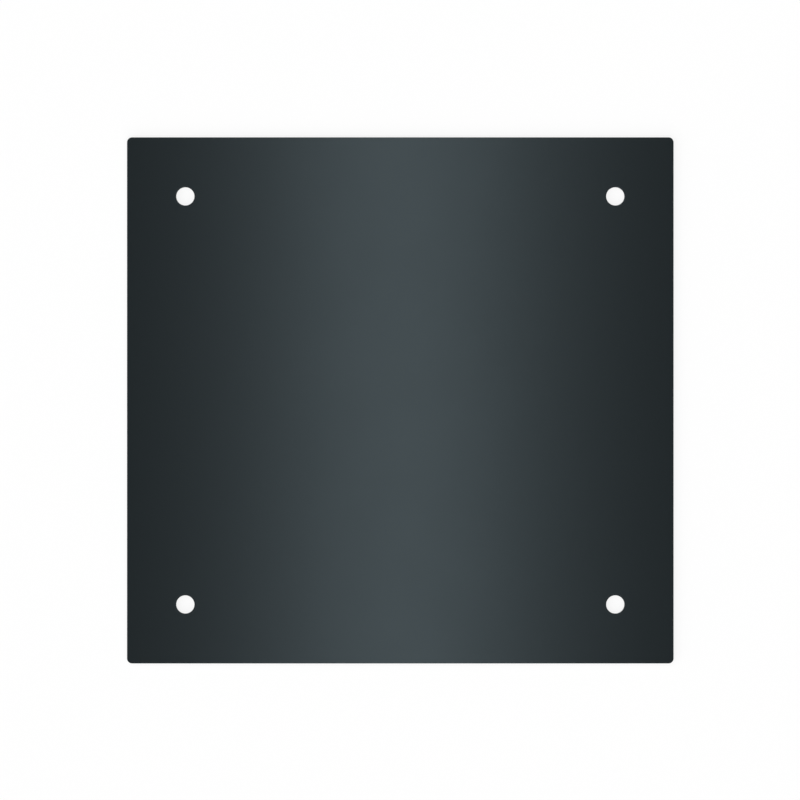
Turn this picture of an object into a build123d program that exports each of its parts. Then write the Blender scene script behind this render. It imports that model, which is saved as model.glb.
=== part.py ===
from build123d import *
import os

# Rectangular cover plate: one flat blank of sheet steel with rounded corners and a screw hole
# near each corner. It lies on its back face, with its width along X, its height along Y and its
# front face up. The origin is the middle of the back face, and all sizes are in millimetres.

# Blank
plate_width = 150.0
plate_height = 144.4
plate_thickness = 2.0
corner_radius = 1.4

# Screw holes, placed from the edges of the blank to each hole's centre
screw_hole_diameter = 5.0
hole_to_side_edge = 16.0
hole_to_end_edge = 16.2

# Radius on the rims of both faces and of the holes, where the sheet was deburred for its paint
rim_radius = 0.2

hole_spacing_x = plate_width - 2 * hole_to_side_edge
hole_spacing_y = plate_height - 2 * hole_to_end_edge

with BuildPart() as cover_plate:
    with BuildSketch(Plane.XY):
        RectangleRounded(plate_width, plate_height, corner_radius)
    extrude(amount=plate_thickness)

    with GridLocations(hole_spacing_x, hole_spacing_y, 2, 2):
        Hole(screw_hole_diameter / 2)

    flat_faces = faces().filter_by(Axis.Z)
    fillet(flat_faces.edges(), rim_radius)

cover_plate.part.label = "cover_plate"

os.makedirs("parts", exist_ok=True)
export_step(cover_plate.part, "parts/cover_plate.step")
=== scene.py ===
import math

import bpy
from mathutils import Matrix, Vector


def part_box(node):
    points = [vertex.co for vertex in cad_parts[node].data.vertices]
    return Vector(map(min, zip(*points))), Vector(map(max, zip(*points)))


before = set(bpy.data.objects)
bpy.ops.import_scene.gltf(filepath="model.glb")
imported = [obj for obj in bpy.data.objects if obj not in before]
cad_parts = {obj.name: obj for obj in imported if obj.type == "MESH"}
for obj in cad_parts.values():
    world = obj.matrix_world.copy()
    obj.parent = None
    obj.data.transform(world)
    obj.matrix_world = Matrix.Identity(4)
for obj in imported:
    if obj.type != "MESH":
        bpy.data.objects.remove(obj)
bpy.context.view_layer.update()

# The plate lies face up on a white floor, inside a round light tent, under a long lamp and soft
# daylight, and the camera looks straight down on it. Everything is in metres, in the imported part's
# own frame, apart from what a name gives in millimetres.

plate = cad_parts["cover_plate"]
plate_low, plate_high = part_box("cover_plate")
plate_width = plate_high[0] - plate_low[0]
middle_x = (plate_low[0] + plate_high[0]) / 2
middle_y = (plate_low[1] + plate_high[1]) / 2
plate_bottom = plate_low[2]
plate_top = plate_high[2]

# Camera
WIDTH_SHARE = 0.6833          # share of the picture's width that the plate takes
LENS_MM = 400.0
SENSOR_MM = 36.0
SHIFT_X = -0.0004             # the plate stands a hair right of and below the picture's middle
SHIFT_Y = 0.0005

# Satin metallic powder coat, anthracite
COAT_COLOUR = (0.0382, 0.05, 0.0551)
COAT_METALLIC = 0.9
COAT_ROUGHNESS = 0.36
COLOUR_DRIFT = 0.01           # share by which the coat's tone wanders over the plate
ROUGHNESS_DRIFT = 0.004
DRIFT_SIZE = 0.018            # wavelength of both
DRIFT_DETAIL = 3
PEEL_SIZE = 0.0011            # wavelength of the coat's orange peel
PEEL_HEIGHT = 0.000008
PEEL_DETAIL = 1
GRAIN_SIZE = 0.00016          # wavelength of the finer grain
GRAIN_HEIGHT = 0.000005
GRAIN_DETAIL = 0
NOISE_LOW = 0.3               # most values of a noise lie between these two
NOISE_HIGH = 0.7

# Floor
FLOOR_SIZE = 40.0
FLOOR_GAP = 0.00002           # keeps the floor clear of the plate's back face
FLOOR_COLOUR = 0.93
FLOOR_WHITENESS = 0.85        # share that is seen as plain white, the rest takes light and shadow

# Light, its levels as multiples of white
CEILING_LEVEL = 0.038
TENT_RADIUS = 0.4
TENT_HEIGHT = 0.45
TENT_FADE_START = 0.04        # the cloth is white up to here and darkens from here to its top
TENT_SIDES = 96
LAMP_LEVEL = 4.74
LAMP_HEIGHT = 0.2035          # above the plate's front face
LAMP_WIDTH = 0.03
LAMP_LENGTH = 0.78
DAYLIGHT_LEVEL = 1.23
DAYLIGHT_SPREAD = math.radians(120)
DAYLIGHT_TILT = math.radians(25)


def node(tree, kind, **settings):
    """A new node of a material's or the world's tree, with its settings."""
    made = tree.nodes.new(kind)
    for name, value in settings.items():
        setattr(made, name, value)
    return made


def new_material(name):
    """A material with an empty node tree."""
    material = bpy.data.materials.new(name)
    material.use_nodes = True
    material.node_tree.nodes.clear()
    return material


def show(tree, shader):
    """Makes a shader the surface of its material."""
    output = node(tree, "ShaderNodeOutputMaterial")
    tree.links.new(shader, output.inputs["Surface"])


def noise(tree, where, wavelength, detail):
    """Noise whose features are about a wavelength apart, with finer ones for each step of detail."""
    texture = node(tree, "ShaderNodeTexNoise")
    texture.inputs["Scale"].default_value = 1 / wavelength
    texture.inputs["Detail"].default_value = detail
    tree.links.new(where, texture.inputs["Vector"])
    return texture.outputs["Fac"]


def spread(tree, value, low, high):
    """A noise stretched so that its values run from low to high."""
    mapped = node(tree, "ShaderNodeMapRange")
    mapped.inputs["From Min"].default_value = NOISE_LOW
    mapped.inputs["From Max"].default_value = NOISE_HIGH
    mapped.inputs["To Min"].default_value = low
    mapped.inputs["To Max"].default_value = high
    tree.links.new(value, mapped.inputs["Value"])
    return mapped.outputs["Result"]


def bump(tree, height, depth, below=None):
    """Relief of that depth in metres, on top of another relief."""
    relief = node(tree, "ShaderNodeBump")
    relief.inputs["Distance"].default_value = depth
    tree.links.new(height, relief.inputs["Height"])
    if below:
        tree.links.new(below, relief.inputs["Normal"])
    return relief.outputs["Normal"]


def powder_coat():
    """Satin anthracite powder coat: orange peel, a fine grain, and a slow drift of tone and gloss."""
    material = new_material("powder_coat")
    tree = material.node_tree
    coat = node(tree, "ShaderNodeBsdfPrincipled")
    coat.inputs["Metallic"].default_value = COAT_METALLIC
    where = node(tree, "ShaderNodeTexCoord").outputs["Object"]

    drift = noise(tree, where, DRIFT_SIZE, DRIFT_DETAIL)
    tone = node(tree, "ShaderNodeMix", data_type="RGBA", blend_type="MULTIPLY")
    tone.inputs["Factor"].default_value = 1
    tone.inputs["A"].default_value = (*COAT_COLOUR, 1)
    tree.links.new(spread(tree, drift, 1 - COLOUR_DRIFT, 1 + COLOUR_DRIFT), tone.inputs["B"])
    tree.links.new(tone.outputs["Result"], coat.inputs["Base Color"])

    gloss = spread(tree, drift, COAT_ROUGHNESS + ROUGHNESS_DRIFT, COAT_ROUGHNESS - ROUGHNESS_DRIFT)
    tree.links.new(gloss, coat.inputs["Roughness"])

    peel = bump(tree, noise(tree, where, PEEL_SIZE, PEEL_DETAIL), PEEL_HEIGHT)
    grain = bump(tree, noise(tree, where, GRAIN_SIZE, GRAIN_DETAIL), GRAIN_HEIGHT, peel)
    tree.links.new(grain, coat.inputs["Normal"])
    show(tree, coat.outputs["BSDF"])
    return material


def dress(piece, material):
    """Gives every face of a CAD node that material."""
    for place in piece.material_slots:
        place.link = "OBJECT"
        place.material = material


def light_path(tree, *kinds):
    """1 for rays of these kinds and 0 for the others."""
    path = node(tree, "ShaderNodeLightPath")
    total = path.outputs[kinds[0]]
    for kind in kinds[1:]:
        either = node(tree, "ShaderNodeMath", operation="MAXIMUM")
        tree.links.new(total, either.inputs[0])
        tree.links.new(path.outputs[kind], either.inputs[1])
        total = either.outputs["Value"]
    return total


def white_paper():
    """Paper that looks plain white, directly and in reflections, and still takes a faint shadow."""
    material = new_material("white_paper")
    tree = material.node_tree
    paper = node(tree, "ShaderNodeBsdfDiffuse")
    paper.inputs["Color"].default_value = (FLOOR_COLOUR, FLOOR_COLOUR, FLOOR_COLOUR, 1)
    white = node(tree, "ShaderNodeEmission")

    share = node(tree, "ShaderNodeMath", operation="MULTIPLY")
    tree.links.new(light_path(tree, "Is Camera Ray", "Is Glossy Ray", "Is Transmission Ray"), share.inputs[0])
    share.inputs[1].default_value = FLOOR_WHITENESS
    both = node(tree, "ShaderNodeMixShader")
    tree.links.new(share.outputs["Value"], both.inputs["Fac"])
    tree.links.new(paper.outputs["BSDF"], both.inputs[1])
    tree.links.new(white.outputs["Emission"], both.inputs[2])
    show(tree, both.outputs["Shader"])
    return material


def tent_cloth():
    """Glowing cloth, white at its foot and as dark as the ceiling at its top."""
    material = new_material("tent_cloth")
    material.cycles.emission_sampling = "NONE"
    tree = material.node_tree
    height = node(tree, "ShaderNodeSeparateXYZ")
    tree.links.new(node(tree, "ShaderNodeTexCoord").outputs["Object"], height.inputs["Vector"])

    level = node(tree, "ShaderNodeMapRange", interpolation_type="SMOOTHSTEP")
    level.inputs["From Min"].default_value = TENT_FADE_START
    level.inputs["From Max"].default_value = TENT_HEIGHT
    level.inputs["To Min"].default_value = 1
    level.inputs["To Max"].default_value = CEILING_LEVEL
    tree.links.new(height.outputs["Z"], level.inputs["Value"])

    cloth = node(tree, "ShaderNodeEmission")
    tree.links.new(level.outputs["Result"], cloth.inputs["Strength"])
    show(tree, cloth.outputs["Emission"])
    return material


def floor():
    """The wide white floor that the plate lies on."""
    where = (middle_x, middle_y, plate_bottom - FLOOR_GAP)
    bpy.ops.mesh.primitive_plane_add(size=FLOOR_SIZE, location=where)
    paper = bpy.context.object
    paper.name = "floor"
    paper.data.materials.append(white_paper())


def light_tent():
    """A round wall of cloth close to the plate, seen only as the shine that fades across its faces."""
    where = (middle_x, middle_y, plate_bottom)
    bpy.ops.mesh.primitive_cylinder_add(
        vertices=TENT_SIDES, radius=TENT_RADIUS, depth=TENT_HEIGHT, end_fill_type="NOTHING", location=where
    )
    tent = bpy.context.object
    tent.name = "light_tent"
    # The wall stands on its own origin, so that the cloth's Z is its height above the floor.
    for point in tent.data.vertices:
        point.co.z += TENT_HEIGHT / 2
    tent.data.materials.append(tent_cloth())
    tent.visible_camera = False
    tent.visible_diffuse = False
    tent.visible_shadow = False


def surroundings():
    """The world: white for the camera, and a dark ceiling for all other rays."""
    world = bpy.data.worlds.new("studio")
    bpy.context.scene.world = world
    world.use_nodes = True
    tree = world.node_tree
    level = node(tree, "ShaderNodeMath", operation="MAXIMUM")
    level.inputs[0].default_value = CEILING_LEVEL
    tree.links.new(light_path(tree, "Is Camera Ray"), level.inputs[1])
    background = tree.nodes["Background"]
    background.inputs["Color"].default_value = (1, 1, 1, 1)
    tree.links.new(level.outputs["Value"], background.inputs["Strength"])


def hang(light):
    """Puts a light into the scene, pointing straight down."""
    lamp = bpy.data.objects.new(light.name, light)
    bpy.context.collection.objects.link(lamp)
    return lamp


def daylight():
    """Wide even daylight that adds no gloss and lays the plate's soft shadow on the floor."""
    light = bpy.data.lights.new("daylight", "SUN")
    light.angle = DAYLIGHT_SPREAD
    light.energy = DAYLIGHT_LEVEL * math.pi
    sun = hang(light)
    sun.rotation_euler = (DAYLIGHT_TILT, -DAYLIGHT_TILT, 0)
    sun.visible_glossy = False


def long_lamp():
    """A long narrow lamp over the plate, seen only as the soft bright band down its middle."""
    light = bpy.data.lights.new("long_lamp", "AREA")
    light.shape = "RECTANGLE"
    light.size = LAMP_WIDTH
    light.size_y = LAMP_LENGTH
    light.energy = LAMP_LEVEL * math.pi * LAMP_WIDTH * LAMP_LENGTH
    lamp = hang(light)
    lamp.location = (middle_x, middle_y, plate_top + LAMP_HEIGHT)
    lamp.visible_camera = False
    lamp.visible_diffuse = False


def camera_above():
    """A long lens straight above the plate."""
    lens = bpy.data.cameras.new("camera")
    lens.lens = LENS_MM
    lens.sensor_width = SENSOR_MM
    lens.shift_x = SHIFT_X
    lens.shift_y = SHIFT_Y
    camera = bpy.data.objects.new("camera", lens)
    distance = plate_width / WIDTH_SHARE * LENS_MM / SENSOR_MM
    camera.location = (middle_x, middle_y, plate_top + distance)
    bpy.context.collection.objects.link(camera)
    bpy.context.scene.camera = camera


dress(plate, powder_coat())
floor()
light_tent()
surroundings()
daylight()
long_lamp()
camera_above()
bpy.context.scene.view_settings.view_transform = "Standard"
